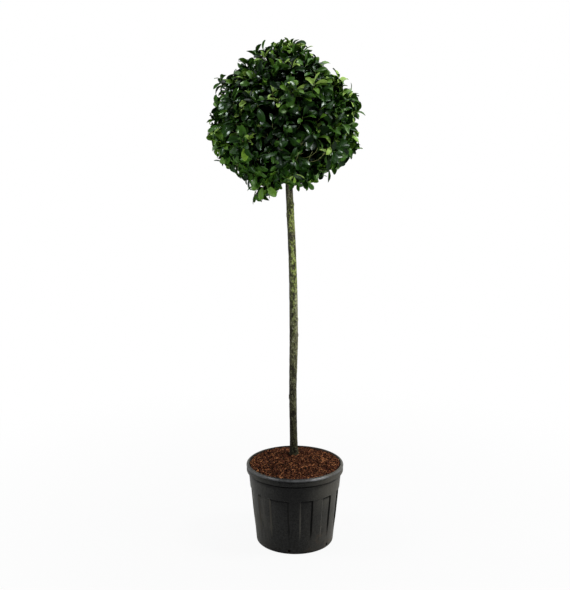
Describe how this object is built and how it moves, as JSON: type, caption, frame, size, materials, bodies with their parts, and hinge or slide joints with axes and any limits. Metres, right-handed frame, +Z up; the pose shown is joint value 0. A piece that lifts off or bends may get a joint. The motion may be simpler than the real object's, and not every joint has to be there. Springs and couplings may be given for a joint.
{
  "type": "potted cherry laurel",
  "caption": "Cherry laurel trained as a standard: a dense clipped ball of glossy evergreen leaves on a tall clear stem, in a round ribbed nursery pot of bark compost.",
  "frame": {"origin": "centre of the pot's flat underside", "axes": "+Z up along the stem, the front of the plant faces -Y, +X to its right seen from the front"},
  "size_m": [0.526, 0.5113, 1.8186],
  "materials": {
    "pot": "black moulded plastic with a dull sheen and a little dust",
    "compost": "loose reddish-brown bark fibre compost",
    "bark": "dark grey-brown bark with a green bloom of algae",
    "foliage": "glossy dark green leaves, lighter on the young shoots"
  },
  "bodies": {
    "root": {"pot": "pot", "compost": "compost", "trunk": "bark", "bough_lower_1": "bark", "bough_lower_2": "bark", "bough_lower_3": "bark", "bough_lower_4": "bark", "bough_lower_5": "bark", "bough_lower_6": "bark", "bough_upper_1": "bark", "bough_upper_2": "bark", "bough_upper_3": "bark", "bough_upper_4": "bark", "bough_upper_5": "bark", "foliage_lower_1": "foliage", "foliage_lower_2": "foliage", "foliage_lower_3": "foliage", "foliage_lower_4": "foliage", "foliage_lower_5": "foliage", "foliage_lower_6": "foliage", "foliage_upper_1": "foliage", "foliage_upper_2": "foliage", "foliage_upper_3": "foliage", "foliage_upper_4": "foliage", "foliage_upper_5": "foliage", "foliage_top": "foliage"}
  },
  "joints": []
}
